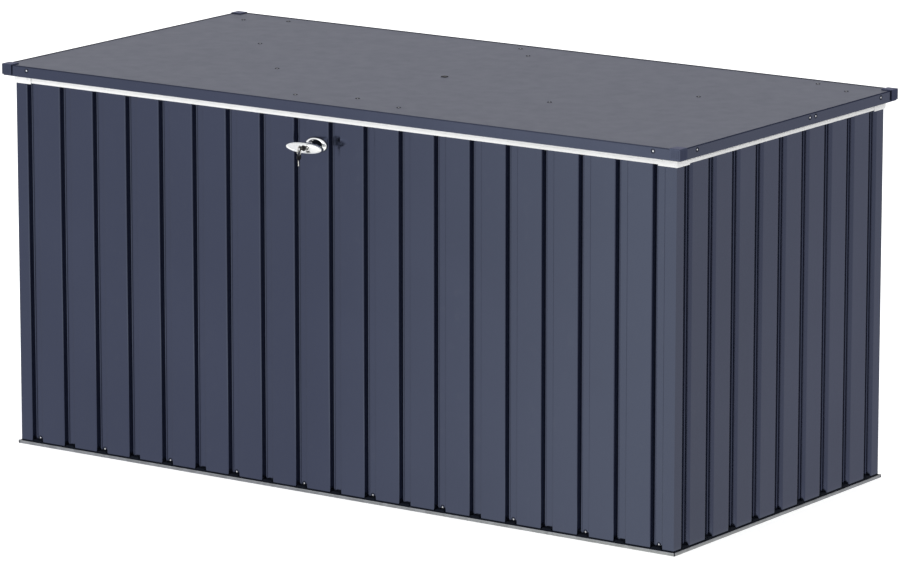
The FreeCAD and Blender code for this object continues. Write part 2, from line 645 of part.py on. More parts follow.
def build_hinges(parts):
    half = HINGE_LENGTH / 2
    parts["hinge_lower_leaves"] = [drilled(lower_leaf(x), hinge_low_seats()) for x in HINGE_XS]
    parts["hinge_upper_leaves"] = [upper_leaf(x) for x in HINGE_XS]
    parts["hinge_screws"] = screws(hinge_low_seats())
    parts["hinge_pins"] = [rod(V(x - half, HINGE_Y, HINGE_Z), V(x + half, HINGE_Y, HINGE_Z), HINGE_PIN)
                           for x in HINGE_XS]
    slot = HINGE_LENGTH / 6 + KNUCKLE_GAP
    notches = [block(x - slot, x + slot, HINGE_Y, LID_D - FASCIA_GAUGE - 0.01, FASCIA_LOW,
                     PANEL_LOW) for x in HINGE_XS]
    parts["lid_fascia_back"] = parts["lid_fascia_back"].cut(notches)
    trim = [block(x - slot, x + slot, 0, HINGE_Y + HINGE_KNUCKLE, PANEL_LOW - HINGE_GAUGE - 0.01,
                  PANEL_LOW) for x in HINGE_XS]
    parts["lid_fascia_back"] = parts["lid_fascia_back"].cut(trim)


# ---- gas struts ----------------------------------------------------------------------
def strut_low_seats(hand):
    """Two screws of the lower bracket, through the face of the side stiffener."""
    x = hand * (HALF_W - WALL_IN - STIFFENER_DEPTH - STRUT_PLATE)
    return [(V(x, STRUT_LOW_Y + dy, STIFFENER_Z), V(hand, 0, 0)) for dy in (-18.0, 18.0)]


def strut_low_bracket():
    """Right-hand lower bracket: plate on the stiffener and a pivot pin with a head."""
    face = HALF_W - WALL_IN - STIFFENER_DEPTH
    plate = block(face - STRUT_PLATE, face, STRUT_LOW_Y - 27, STRUT_LOW_Y + 27,
                  STIFFENER_Z - 16, STIFFENER_Z + 16)
    eye_out = STRUT_X + EYE_WIDTH / 2 + 0.3
    eye_in = STRUT_X - EYE_WIDTH / 2 - 0.3
    at = lambda x: V(x, STRUT_LOW_Y, STIFFENER_Z)
    boss = rod(at(eye_out), at(face), PIVOT_RADIUS + 3)
    pin = rod(at(eye_in), at(face), PIVOT_RADIUS)
    head = rod(at(eye_in - 2), at(eye_in), PIVOT_RADIUS + 2)
    return drilled(join([plate, boss, pin, head]), strut_low_seats(1))


def strut_top_bracket():
    """Right-hand lid bracket: leaf on the side fascia, strap over the rim, plate with a stud."""
    outer = LID_W - FASCIA_GAUGE
    y0, y1 = STRUT_TOP_Y - 24, STRUT_TOP_Y + 24
    top = PANEL_LOW - FASCIA_GAUGE
    leaf = block(outer - STRUT_PLATE, outer, y0, y1, FASCIA_LOW + FASCIA_GAUGE + 0.5, top)
    strap = block(STUD_REACH, outer, y0, y1, top - STRUT_PLATE, top)
    plate = block(STUD_REACH, STUD_REACH + STRUT_PLATE, STRUT_TOP_Y - 14, STRUT_TOP_Y + 14,
                  STRUT_TOP_Z - 14, top)
    pair = [seat for seat in fascia_seats() if seat[0].x > 0 and seat[0].y in STRUT_SCREWS]
    return drilled(join([leaf, strap, plate]), pair)


def turned(profile):
    """Solid of revolution about Z from (radius, height) points."""
    points = [V(radius, 0, height) for radius, height in profile]
    face = Part.Face(Part.makePolygon(points + [points[0]]))
    return face.revolve(V(0, 0, 0), V(0, 0, 1), 360)


def strut_pieces():
    """Right-hand gas cylinder and piston rod, in line between the two pivots."""
    low = V(STRUT_X, STRUT_LOW_Y, STIFFENER_Z)
    top = V(STRUT_X, STRUT_TOP_Y, STRUT_TOP_Z)
    length = (top - low).Length
    across = V(EYE_WIDTH / 2, 0, 0)
    tube_top = length - ROD_SHOWN
    bore_low, bore_high = TUBE_START + TUBE_END, tube_top - TUBE_END
    bore, gland = TUBE_RADIUS - TUBE_WALL, ROD_RADIUS + RUNNING_FIT
    tube = turned([(0, TUBE_START), (TUBE_RADIUS, TUBE_START), (TUBE_RADIUS, tube_top),
                   (gland, tube_top), (gland, bore_high), (bore, bore_high), (bore, bore_low),
                   (0, bore_low)])
    neck = Part.makeCylinder(EYE_WIDTH * 0.45, TUBE_START - EYE_RADIUS * 0.7, V(0, 0, EYE_RADIUS * 0.7))
    eye = rod(-across, across, EYE_RADIUS)
    pivot = rod(across * -2, across * 2, PIVOT_RADIUS + RUNNING_FIT)
    cylinder = join([tube, neck, eye]).cut(pivot)
    foot = bore_low + 1.5
    piston = bore - RUNNING_FIT
    rod_end = length - EYE_RADIUS * 0.7
    shaft = turned([(0, foot), (piston, foot), (piston, foot + PISTON_LENGTH),
                    (ROD_RADIUS, foot + PISTON_LENGTH), (ROD_RADIUS, rod_end), (0, rod_end)])
    far = V(0, 0, length)
    socket = rod(far - across, far + across, EYE_RADIUS)
    clip = rod(far - across - V(2, 0, 0), far - across, EYE_RADIUS - 4)
    shaft = join([shaft, socket, clip])
    for piece in (cylinder, shaft):
        piece.Placement = FreeCAD.Placement(low, FreeCAD.Rotation(V(0, 0, 1), top - low))
    return cylinder, shaft


def build_struts(parts):
    cylinder, piston = strut_pieces()
    low, top = strut_low_bracket(), strut_top_bracket()
    parts["gas_cylinder_right"] = cylinder
    parts["gas_cylinder_left"] = mirror_x(cylinder)
    parts["gas_rod_right"] = piston
    parts["gas_rod_left"] = mirror_x(piston)
    parts["strut_lower_brackets"] = [low, mirror_x(low)]
    parts["strut_upper_brackets"] = [top, mirror_x(top)]
    parts["strut_screws"] = screws(strut_low_seats(1) + strut_low_seats(-1))


# ---- lock ----------------------------------------------------------------------------
def lock_seats():
    """Two screws from inside, through the backing plate and the wall into the lock plate."""
    y = -HALF_D + SHEET + CAM_GAUGE
    half = LOCK_PLATE_LENGTH / 2 - 8
    return [(V(LOCK_X + dx, y, LOCK_Z), V(0, -1, 0)) for dx in (-half, half)]


def oval(length, height, y0, y1):
    """Pushed ellipse round the lock's axis, from y0 to y1."""
    curve = Part.Ellipse(V(0, 0, 0), length / 2, height / 2)
    face = Part.Face(Part.Wire(curve.toShape()))
    solid = face.extrude(V(0, 0, y1 - y0))
    solid.rotate(V(0, 0, 0), V(1, 0, 0), -90)
    solid.translate(V(LOCK_X, y0, LOCK_Z))
    return solid


def at_lock(y):
    return V(LOCK_X, y, LOCK_Z)


def build_lock(parts):
    wall = -HALF_D
    plate = oval(LOCK_PLATE_LENGTH, LOCK_PLATE_HEIGHT, wall - LOCK_PLATE_DEPTH, wall)
    rim = [e for e in plate.Edges if e.CenterOfMass.y < wall - LOCK_PLATE_DEPTH + 0.1]
    plate = plate.makeFillet(LOCK_PLATE_DEPTH * 0.6, rim)
    neck_end = wall - LOCK_PLATE_DEPTH - NECK_LENGTH
    plate = plate.fuse(rod(at_lock(neck_end), at_lock(wall), NECK_RADIUS))
    bore = rod(at_lock(neck_end - 1), at_lock(wall + 1), SPINDLE_RADIUS + RUNNING_FIT)
    parts["lock_base_plate"] = drilled(plate.removeSplitter().cut(bore), lock_seats())
    inner = wall + SHEET
    back = block(LOCK_X - LOCK_PLATE_LENGTH / 2 + 1, LOCK_X + LOCK_PLATE_LENGTH / 2 - 1,
                 inner, inner + CAM_GAUGE, LOCK_Z - NECK_RADIUS, LOCK_Z + NECK_RADIUS)
    hole = rod(at_lock(inner - 1), at_lock(inner + CAM_GAUGE + 1), SPINDLE_RADIUS + 1)
    parts["lock_backing_plate"] = drilled(back.cut(hole), lock_seats())
    parts["lock_screws"] = screws(lock_seats())

    face = wall - HANDLE_OUT
    grip = oval(HANDLE_LENGTH, HANDLE_HEIGHT, face, face + HANDLE_DEPTH)
    rims = [e for e in grip.Edges if e.BoundBox.YLength < 0.01]
    grip = grip.makeFillet(HANDLE_ROUND, rims)
    stem = rod(at_lock(face + HANDLE_DEPTH - 4), at_lock(neck_end - KNUCKLE_GAP), NECK_RADIUS - 1)
    pocket = rod(at_lock(face - 1), at_lock(face + KEY_DEEP), KEY_BORE + RUNNING_FIT)
    seat = rod(at_lock(neck_end - KNUCKLE_GAP - 6), at_lock(neck_end), SPINDLE_RADIUS)
    parts["t_handle"] = grip.fuse(stem).removeSplitter().cut([pocket, seat])

    cam_in = CAM_Y - CAM_GAUGE / 2
    cam_out = CAM_Y + CAM_GAUGE / 2
    end = cam_out + 5
    square = 4.0
    spindle = rod(at_lock(neck_end - KNUCKLE_GAP - 6), at_lock(cam_in), SPINDLE_RADIUS)
    drive = block(LOCK_X - square, LOCK_X + square, cam_in, end, LOCK_Z - square, LOCK_Z + square)
    parts["lock_spindle"] = spindle.fuse(drive).removeSplitter()

    arm = block(LOCK_X - CAM_WIDTH / 2, LOCK_X + CAM_LENGTH, cam_in, cam_out,
                LOCK_Z - CAM_WIDTH / 2, LOCK_Z + CAM_WIDTH / 2)
    tooth = block(LOCK_X + CAM_LENGTH - CAM_TOOTH_HEIGHT, LOCK_X + CAM_LENGTH, cam_in, cam_out,
                  LOCK_Z, LOCK_Z + CAM_WIDTH / 2 + CAM_TOOTH)
    hub = rod(at_lock(cam_in), at_lock(cam_out), CAM_WIDTH / 2 + 2)
    parts["lock_cam"] = join([arm, tooth, hub]).cut(drive)
    nut = rod(at_lock(cam_out), at_lock(cam_out + 4), CAM_WIDTH / 2)
    parts["cam_nut"] = nut.cut(drive)

    x = LOCK_X - KEEPER_SIDE
    y = KEEPER_FRONT
    window = LOCK_Z + CAM_LENGTH - CAM_TOOTH_HEIGHT - 3
    keeper = block(x - KEEPER_GAUGE, x, y, y + KEEPER_DEPTH, window - KEEPER_BAR, PANEL_LOW)
    foot = block(x - KEEPER_GAUGE - 16, x, y, y + KEEPER_DEPTH, PANEL_LOW - KEEPER_GAUGE, PANEL_LOW)
    mouth = block(x - KEEPER_GAUGE - 1, x + 1, y + 4, y + KEEPER_DEPTH - 4, window,
                  LOCK_Z + CAM_LENGTH + CAM_TOOTH_HEIGHT)
    parts["lock_keeper"] = join([keeper, foot]).cut(mouth)
    build_keys(parts, face)


def hanging_key(hole):
    """Flat key in the YZ plane, hanging down from the middle of its hole."""
    half = V(KEY_GAUGE / 2, 0, 0)
    middle = hole - V(0, 0, BOW_RADIUS / 2)
    bow = rod(middle - half, middle + half, BOW_RADIUS)
    blade = block(hole.x - half.x, hole.x + half.x, hole.y - BLADE_HALF, hole.y + BLADE_HALF,
                  middle.z - BOW_RADIUS - BLADE_LENGTH, middle.z - BOW_RADIUS / 2)
    return bow.fuse(blade).removeSplitter().cut(rod(hole - half * 2, hole + half * 2, SPARE_HOLE))


def build_keys(parts, face):
    cylinder = rod(at_lock(face - KEY_PROUD), at_lock(face + KEY_DEEP - 0.5), KEY_BORE)
    half = KEY_GAUGE / 2
    side, tall = half + KEY_PLAY, BLADE_HALF + KEY_PLAY
    slot = block(LOCK_X - side, LOCK_X + side, face - 2, face + 14, LOCK_Z - tall, LOCK_Z + tall)
    parts["key_cylinder"] = cylinder.cut(slot)
    blade = block(LOCK_X - half, LOCK_X + half, face - BOW_OUT + BOW_RADIUS / 2, face + 12,
                  LOCK_Z - BLADE_HALF, LOCK_Z + BLADE_HALF)
    centre = V(0, face - BOW_OUT, 0)
    across = V(half, 0, 0)
    bow = rod(V(LOCK_X, centre.y, LOCK_Z) - across, V(LOCK_X, centre.y, LOCK_Z) + across, BOW_RADIUS)
    hole = V(LOCK_X, face - BOW_OUT - BOW_RADIUS / 3, LOCK_Z)
    bored = rod(hole - across * 2, hole + across * 2, BOW_HOLE)
    eased = [Part.makeCone(BOW_HOLE, BOW_HOLE + BOW_BEVEL * 2, BOW_BEVEL * 2,
                           hole + V(hand * (half - BOW_BEVEL), 0, 0), V(hand, 0, 0)) for hand in (-1, 1)]
    parts["key"] = blade.fuse(bow).removeSplitter().cut([bored] + eased)
    wire_z = LOCK_Z - BOW_HOLE + RING_PLAY + RING_WIRE      # where the ring lies in the bow's hole
    ring = V(LOCK_X, hole.y, wire_z - RING_RADIUS)
    parts["key_ring"] = Part.makeTorus(RING_RADIUS, RING_WIRE, ring, V(0, 1, 0))
    low = ring.z - RING_RADIUS + RING_WIRE + KEY_PLAY - SPARE_HOLE
    parts["spare_key"] = hanging_key(V(LOCK_X, hole.y, low))


# ---- build ---------------------------------------------------------------------------
def main():
    parts = {}
    build_base(parts)
    build_walls(parts)
    build_stiffeners(parts)
    build_rim(parts)
    build_lid(parts)
    build_hinges(parts)
    build_struts(parts)
    build_lock(parts)
    os.makedirs("parts", exist_ok=True)
    for name, piece in parts.items():
        shape = Part.makeCompound(piece) if isinstance(piece, list) else piece
        shape.exportStep("parts/" + name + ".step")
        solids = shape.Solids
        good = all(solid.isValid() and solid.Volume > 0 for solid in solids)
        print(name, len(solids), "ok" if good else "BAD", round(shape.Volume))


main()
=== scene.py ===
import json
import math

import bmesh
import bpy
from mathutils import Matrix, Vector


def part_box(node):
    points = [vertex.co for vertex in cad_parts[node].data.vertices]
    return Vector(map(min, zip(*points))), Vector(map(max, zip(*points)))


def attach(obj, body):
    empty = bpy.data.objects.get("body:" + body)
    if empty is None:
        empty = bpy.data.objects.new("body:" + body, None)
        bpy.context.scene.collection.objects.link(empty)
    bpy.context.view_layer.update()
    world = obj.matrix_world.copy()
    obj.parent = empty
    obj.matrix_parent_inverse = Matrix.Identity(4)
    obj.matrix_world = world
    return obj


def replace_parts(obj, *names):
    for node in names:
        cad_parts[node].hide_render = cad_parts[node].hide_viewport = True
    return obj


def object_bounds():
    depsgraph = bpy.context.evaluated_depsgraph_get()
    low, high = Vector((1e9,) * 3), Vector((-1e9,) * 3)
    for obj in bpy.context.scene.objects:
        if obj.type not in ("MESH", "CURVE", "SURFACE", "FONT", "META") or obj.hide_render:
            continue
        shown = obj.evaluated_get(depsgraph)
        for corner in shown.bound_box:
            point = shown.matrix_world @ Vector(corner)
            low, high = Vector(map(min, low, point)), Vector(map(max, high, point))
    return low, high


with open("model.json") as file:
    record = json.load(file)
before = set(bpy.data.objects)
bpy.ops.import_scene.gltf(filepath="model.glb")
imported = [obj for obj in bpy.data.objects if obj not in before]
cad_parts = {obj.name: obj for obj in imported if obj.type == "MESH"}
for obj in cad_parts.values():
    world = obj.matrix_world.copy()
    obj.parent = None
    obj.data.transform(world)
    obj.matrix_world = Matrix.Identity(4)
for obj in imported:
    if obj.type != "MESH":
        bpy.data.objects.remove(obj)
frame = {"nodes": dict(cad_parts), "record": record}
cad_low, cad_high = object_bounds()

scene = bpy.context.scene
nodes = frame["nodes"]

# ---- camera and view ------------------------------------------------------------------
CAMERA_PLACE = Vector((7.4996, -10.6852, 3.2063))
CAMERA_AZIMUTH = 35.01          # degrees round from the front, towards +X
CAMERA_ELEVATION = 12.236
CAMERA_LENS = 234.05            # mm on a 36 mm sensor
CAMERA_SHIFT = 0.0191           # the picture's middle is above the optical axis


def make_camera():
    azimuth, elevation = math.radians(CAMERA_AZIMUTH), math.radians(CAMERA_ELEVATION)
    back = Vector((math.sin(azimuth) * math.cos(elevation),
                   -math.cos(azimuth) * math.cos(elevation), math.sin(elevation)))
    data = bpy.data.cameras.new("camera")
    data.lens = CAMERA_LENS
    data.shift_y = CAMERA_SHIFT
    data.clip_end = 100.0
    camera = bpy.data.objects.new("camera", data)
    camera.location = CAMERA_PLACE
    camera.rotation_mode = "QUATERNION"
    camera.rotation_quaternion = (-back).to_track_quat("-Z", "Y")
    scene.collection.objects.link(camera)
    scene.camera = camera


scene.view_settings.view_transform = "Standard"
make_camera()


# ---- material tools -------------------------------------------------------------------
class Shader:
    """A material's node tree with short calls for the nodes used here."""

    def __init__(self, name):
        self.material = bpy.data.materials.new(name)
        self.material.use_nodes = True
        self.tree = self.material.node_tree
        self.tree.nodes.clear()
        self.output = self.tree.nodes.new("ShaderNodeOutputMaterial")
        self.bsdf = self.tree.nodes.new("ShaderNodeBsdfPrincipled")
        self.link(self.bsdf.outputs["BSDF"], self.output.inputs["Surface"])
        self.place = self.tree.nodes.new("ShaderNodeTexCoord").outputs["Object"]

    def link(self, source, target):
        self.tree.links.new(source, target)

    def put(self, node, **values):
        for key, value in values.items():
            socket = node.inputs[key.replace("_", " ")]
            if isinstance(value, bpy.types.NodeSocket):
                self.link(value, socket)
            else:
                socket.default_value = value
        return node

    def fixed(self, **values):
        self.put(self.bsdf, **values)

    def scaled(self, x, y, z):
        mapping = self.tree.nodes.new("ShaderNodeMapping")
        mapping.inputs["Scale"].default_value = (x, y, z)
        self.link(self.place, mapping.inputs["Vector"])
        return mapping.outputs["Vector"]

    def noise(self, scale, detail=3.0, rough=0.5, vector=None):
        node = self.tree.nodes.new("ShaderNodeTexNoise")
        self.put(node, Scale=scale, Detail=detail, Roughness=rough, Vector=vector or self.place)
        return node.outputs["Fac"]

    def cells(self, scale, vector=None, output="Color"):
        node = self.tree.nodes.new("ShaderNodeTexVoronoi")
        self.put(node, Scale=scale, Vector=vector or self.place)
        return node.outputs[output]

    def remap(self, value, low, high, out_low=0.0, out_high=1.0):
        node = self.tree.nodes.new("ShaderNodeMapRange")
        node.interpolation_type = "SMOOTHSTEP"
        self.link(value, node.inputs["Value"])
        for key, number in (("From Min", low), ("From Max", high), ("To Min", out_low),
                            ("To Max", out_high)):
            node.inputs[key].default_value = number
        return node.outputs["Result"]

    def math(self, operation, a, b=0.0):
        node = self.tree.nodes.new("ShaderNodeMath")
        node.operation = operation
        for socket, value in zip(node.inputs, (a, b)):
            if isinstance(value, bpy.types.NodeSocket):
                self.link(value, socket)
            else:
                socket.default_value = value
        return node.outputs["Value"]

    def mix(self, factor, a, b):
        node = self.tree.nodes.new("ShaderNodeMix")
        node.data_type = "RGBA"
        for socket, value in ((node.inputs[0], factor), (node.inputs[6], a), (node.inputs[7], b)):
            if isinstance(value, bpy.types.NodeSocket):
                self.link(value, socket)
            else:
                socket.default_value = (*value, 1.0) if isinstance(value, tuple) else value
        return node.outputs[2]

    def axis(self, name):
        node = self.tree.nodes.new("ShaderNodeSeparateXYZ")
        self.link(self.place, node.inputs["Vector"])
        return node.outputs[name]

    def bump(self, height, distance, strength=1.0):
        node = self.tree.nodes.new("ShaderNodeBump")
        self.put(node, Height=height, Distance=distance, Strength=strength)
        self.link(node.outputs["Normal"], self.bsdf.inputs["Normal"])

    def edges(self, near, far):
        """1 on sharp outer edges, 0 on flats, from the mesh's pointiness."""
        geometry = self.tree.nodes.new("ShaderNodeNewGeometry")
        return self.remap(geometry.outputs["Pointiness"], near, far)


def painted(name, tone, dust, gloss, metal=0.94, edge=(1.0, 1.0, 1.0), peel=0.06):
    """Navy-anthracite metallic paint on sheet: orange peel, faint dust and softened gloss."""
    s = Shader(name)
    cloud = s.noise(2.2, 4.0, 0.55)
    fine = s.noise(38.0, 5.0, 0.6)
    runs = s.noise(1.0, 3.0, 0.5, s.scaled(26.0, 26.0, 1.4))
    shade = s.mix(s.remap(cloud, 0.35, 0.7), tuple(c * 0.97 for c in tone), tuple(c * 1.03 for c in tone))
    marks = s.math("MULTIPLY", s.remap(fine, 0.52, 0.8, 0.0, 0.08), s.remap(runs, 0.4, 0.75))
    s.fixed(Base_Color=s.mix(marks, shade, dust))
    s.fixed(Roughness=s.math("ADD", s.remap(runs, 0.2, 0.9, gloss - 0.015, gloss + 0.02),
                             s.remap(fine, 0.4, 0.8, 0.0, 0.02)))
    s.fixed(Metallic=metal, IOR=1.5, Specular_Tint=(*edge, 1.0))
    s.bump(s.noise(900.0, 1.0), 0.00005, peel)
    return s.material


def white_paint():
    s = Shader("white_trim_paint")
    cloud = s.noise(5.0, 3.0)
    grime = s.math("MULTIPLY", s.remap(s.noise(60.0, 5.0, 0.6), 0.5, 0.8), 0.12)
    base = s.mix(s.remap(cloud, 0.3, 0.7), (0.90, 0.905, 0.905), (0.94, 0.945, 0.945))
    s.fixed(Base_Color=s.mix(grime, base, (0.55, 0.55, 0.53)))
    s.fixed(Roughness=s.remap(s.noise(24.0, 4.0), 0.3, 0.8, 0.30, 0.42), IOR=1.5)
    s.bump(s.noise(500.0, 1.0), 0.00006, 0.3)
    return s.material


def galvanised(name="galvanised_steel", tone=(0.40, 0.41, 0.43)):
    """Zinc-coated sheet: spangle cells that differ a little in tone and gloss."""
    s = Shader(name)
    grains = s.cells(70.0)
    split = s.tree.nodes.new("ShaderNodeSeparateColor")
    s.link(grains, split.inputs["Color"])
    cell = split.outputs["Red"]
    dark, light = tuple(c * 0.82 for c in tone), tuple(min(1.0, c * 1.16) for c in tone)
    grime = s.remap(s.noise(12.0, 5.0, 0.6), 0.5, 0.8, 0.0, 0.35)
    s.fixed(Base_Color=s.mix(grime, s.mix(cell, dark, light), (0.24, 0.24, 0.23)))
    s.fixed(Metallic=0.85, Roughness=s.math("ADD", s.remap(cell, 0.0, 1.0, 0.34, 0.48),
                                            s.remap(grime, 0.0, 0.35, 0.0, 0.1)))
    s.bump(s.math("ADD", cell, s.noise(300.0, 2.0)), 0.00004, 0.4)
    return s.material


def zinc_screw():
    s = Shader("zinc_screw")
    tarnish = s.remap(s.noise(400.0, 4.0), 0.4, 0.75)
    s.fixed(Base_Color=s.mix(tarnish, (0.95, 0.95, 0.96), (0.80, 0.81, 0.83)), Metallic=0.25)
    s.fixed(Roughness=s.remap(s.noise(900.0, 2.0), 0.3, 0.7, 0.30, 0.42))
    s.bump(s.noise(1500.0, 2.0), 0.00003, 0.4)
    return s.material


def plastic(name, tone, rough, sheen=0.5):
    s = Shader(name)
    grain = s.noise(1400.0, 2.0)
    s.fixed(Base_Color=s.mix(s.remap(s.noise(30.0, 4.0), 0.35, 0.7), tuple(c * 0.9 for c in tone),
                             tuple(c * 1.12 for c in tone)))
    s.fixed(Roughness=s.remap(grain, 0.3, 0.7, rough - 0.04, rough + 0.06), Specular_IOR_Level=sheen)
    s.bump(grain, 0.00005, 0.5)
    return s.material


def polished(name, tone, rough):
    """Plated or ground metal with faint smears and hairline scratches."""
    s = Shader(name)
    smear = s.noise(60.0, 4.0, 0.6)
    hair = s.noise(1.0, 2.0, 0.5, s.scaled(60.0, 60.0, 2600.0))
    s.fixed(Base_Color=s.mix(s.remap(smear, 0.45, 0.8, 0.0, 0.6), tone, tuple(c * 0.88 for c in tone)),
            Metallic=1.0)
    s.fixed(Roughness=s.math("ADD", s.remap(smear, 0.3, 0.8, rough, rough + 0.06),
                             s.remap(hair, 0.55, 0.8, 0.0, 0.05)))
    s.bump(hair, 0.00001, 0.3)
    return s.material


WALL_TONE = (0.057, 0.066, 0.106)
LID_TONE = (0.058, 0.062, 0.085)
DUST = (0.16, 0.17, 0.20)

wall_paint = painted("wall_paint", WALL_TONE, DUST, 0.13)
lid_paint = painted("lid_paint", LID_TONE, DUST, 0.36, edge=(0.72, 0.73, 0.79))
fascia_paint = painted("fascia_paint", WALL_TONE, DUST, 0.22)
white = white_paint()
zinc = galvanised("galvanised_steel", (0.27, 0.28, 0.30))
hem_zinc = galvanised("hem_zinc", (0.27, 0.28, 0.30))
screw_metal = zinc_screw()
# the lid hem's paint is the wall tone darkened to 0.6 with a weak edge reflection: painted shade along the lid's
# edge
hem_shaded_paint = painted("hem_shaded_paint", tuple(c * 0.6 for c in WALL_TONE), DUST, 0.40, edge=(0.3, 0.3, 0.36))
cap_plastic = painted("cap_plastic", WALL_TONE, DUST, 0.30, edge=(0.5, 0.5, 0.6))
black_plastic = plastic("black_plastic", (0.012, 0.012, 0.014), 0.55, 0.3)
# near-black rubber for washers, gasket and sealant; the same material is also used as painted shadow on the wall
# foot strips and the lid hem strip
rubber_and_shadow_black = plastic("rubber_and_shadow_black", (0.004, 0.006, 0.012), 0.8, 0.12)
chrome = polished("chrome_plate", (0.86, 0.87, 0.88), 0.06)
key_metal = polished("key_nickel", (0.66, 0.65, 0.62), 0.22)
strut_paint = painted("strut_paint", (0.016, 0.016, 0.018), (0.08, 0.08, 0.08), 0.34)
rod_chrome = polished("rod_chrome", (0.78, 0.79, 0.81), 0.08)

BY_SLOT = {
    "painted_wall": wall_paint, "painted_lid": fascia_paint, "white_trim": white,
    "galvanised_steel": zinc, "screw_steel": screw_metal, "cap_plastic": cap_plastic,
    "black_plastic": black_plastic, "chrome": chrome, "key_metal": key_metal,
    "strut_paint": strut_paint, "rod_steel": rod_chrome,
}
BY_NODE = {"lid_panel": lid_paint}


def dress_nodes():
    slots = {part["node"]: part["material_slot"] for part in frame["record"]["subparts"]}
    for name, piece in nodes.items():
        material = BY_NODE.get(name) or BY_SLOT[slots[name]]
        piece.data.materials.clear()
        piece.data.materials.append(material)


dress_nodes()


# ---- mesh tools -----------------------------------------------------------------------
MM = 0.001


def add_piece(name, bm, material, body, angle=32.0):
    bmesh.ops.recalc_face_normals(bm, faces=bm.faces)
    mesh = bpy.data.meshes.new(name)
    bm.to_mesh(mesh)
    bm.free()
    for polygon in mesh.polygons:
        polygon.use_smooth = True
    mesh.set_sharp_from_angle(angle=math.radians(angle))
    mesh.materials.append(material)
    piece = bpy.data.objects.new(name, mesh)
    scene.collection.objects.link(piece)
    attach(piece, body)
    return piece


def loft(bm, rings, loop=False):
    """Skin closed rings of equal length; the ends are capped unless the rings form a loop."""
    made = [[bm.verts.new(point) for point in ring] for ring in rings]
    pairs = list(zip(made, made[1:])) + ([(made[-1], made[0])] if loop else [])
    count = len(rings[0])
    for a, b in pairs:
        for i in range(count):
            j = (i + 1) % count
            bm.faces.new((a[i], a[j], b[j], b[i]))
    if not loop:
        bm.faces.new(made[0])
        bm.faces.new(made[-1])


def turned(bm, base, axis, profile, count=40, loop=False):
    """Revolve (radius, height) pairs in mm about an axis through base."""
    axis = Vector(axis).normalized()
    side = axis.orthogonal().normalized()
    other = axis.cross(side)
    rings = []
    for radius, height in profile:
        middle = Vector(base) + axis * height * MM
        rings.append([middle + (side * math.cos(a) + other * math.sin(a)) * radius * MM
                      for a in (math.tau * i / count for i in range(count))])
    loft(bm, rings, loop)


def ovals(middle, profile, count=112):
    """Rings in the XZ plane from (half width, half height, depth) in mm, depth along +Y."""
    rings = []
    for wide, tall, deep in profile:
        rings.append([middle + Vector((wide * math.cos(a), deep, tall * math.sin(a))) * MM
                      for a in (math.tau * i / count for i in range(count))])
    return rings


def rounded_box(bm, low, high, edge):
    """Box between two corners in metres with bevelled edges, edge in mm."""
    made = bmesh.ops.create_cube(bm, size=1.0)["verts"]
    low, high = Vector(low), Vector(high)
    for vert in made:
        vert.co = Vector(low[i] + (vert.co[i] + 0.5) * (high[i] - low[i]) for i in range(3))
    edges = list({e for v in made for e in v.link_edges})
    bmesh.ops.bevel(bm, geom=edges, offset=edge * MM, segments=2, affect="EDGES", profile=0.6)


def carved(bm, tools):
    """The mesh of bm with the mesh of tools cut away."""
    objects = []
    for name, source in (("carved", bm), ("carving_tools", tools)):
        bmesh.ops.recalc_face_normals(source, faces=source.faces)
        mesh = bpy.data.meshes.new(name)
        source.to_mesh(mesh)
        source.free()
        item = bpy.data.objects.new(name, mesh)
        scene.collection.objects.link(item)
        objects.append(item)
    cut = objects[0].modifiers.new("cut", "BOOLEAN")
    cut.operation, cut.solver, cut.object = "DIFFERENCE", "EXACT", objects[1]
    ready = objects[0].evaluated_get(bpy.context.evaluated_depsgraph_get())
    result = bmesh.new()
    result.from_mesh(ready.to_mesh())
    ready.to_mesh_clear()
    for item in objects:
        bpy.data.objects.remove(item)
    return result


def solids_of(node):
    """The points of each separate solid in a CAD node."""
    bm = bmesh.new()
    bm.from_mesh(nodes[node].data)
    bmesh.ops.remove_doubles(bm, verts=bm.verts, dist=1e-6)
    groups, seen = [], set()
    for start in bm.verts:
        if start in seen:
            continue
        seen.add(start)
        waiting, group = [start], []
        while waiting:
            vert = waiting.pop()
            group.append(vert.co.copy())
            for edge in vert.link_edges:
                other = edge.other_vert(vert)
                if other not in seen:
                    seen.add(other)
                    waiting.append(other)
        groups.append(group)
    bm.free()
    return groups


# ---- screws ---------------------------------------------------------------------------
HEAD = 4.0                      # head radius, mm
SHANK = 1.98
WASHER_OUT = 5.2
WASHER_THICK = 0.6


def screw_seat(points):
    """Seat, outward direction, head height and shank length of one screw, from its points."""
    low = Vector(min(p[i] for p in points) for i in range(3))
    high = Vector(max(p[i] for p in points) for i in range(3))
    size, middle = high - low, (low + high) / 2
    along = min(range(3), key=lambda i: abs(size[(i + 1) % 3] - size[(i + 2) % 3]))
    others = [i for i in range(3) if i != along]
    widest = max(points, key=lambda p: sum((p[i] - middle[i]) ** 2 for i in others))
    seat = middle.copy()
    seat[along] = widest[along]
    up, down = high[along] - seat[along], seat[along] - low[along]
    outward = Vector((0.0, 0.0, 0.0))
    outward[along] = 1.0 if up < down else -1.0
    return seat, outward, min(up, down) / MM, max(up, down) / MM


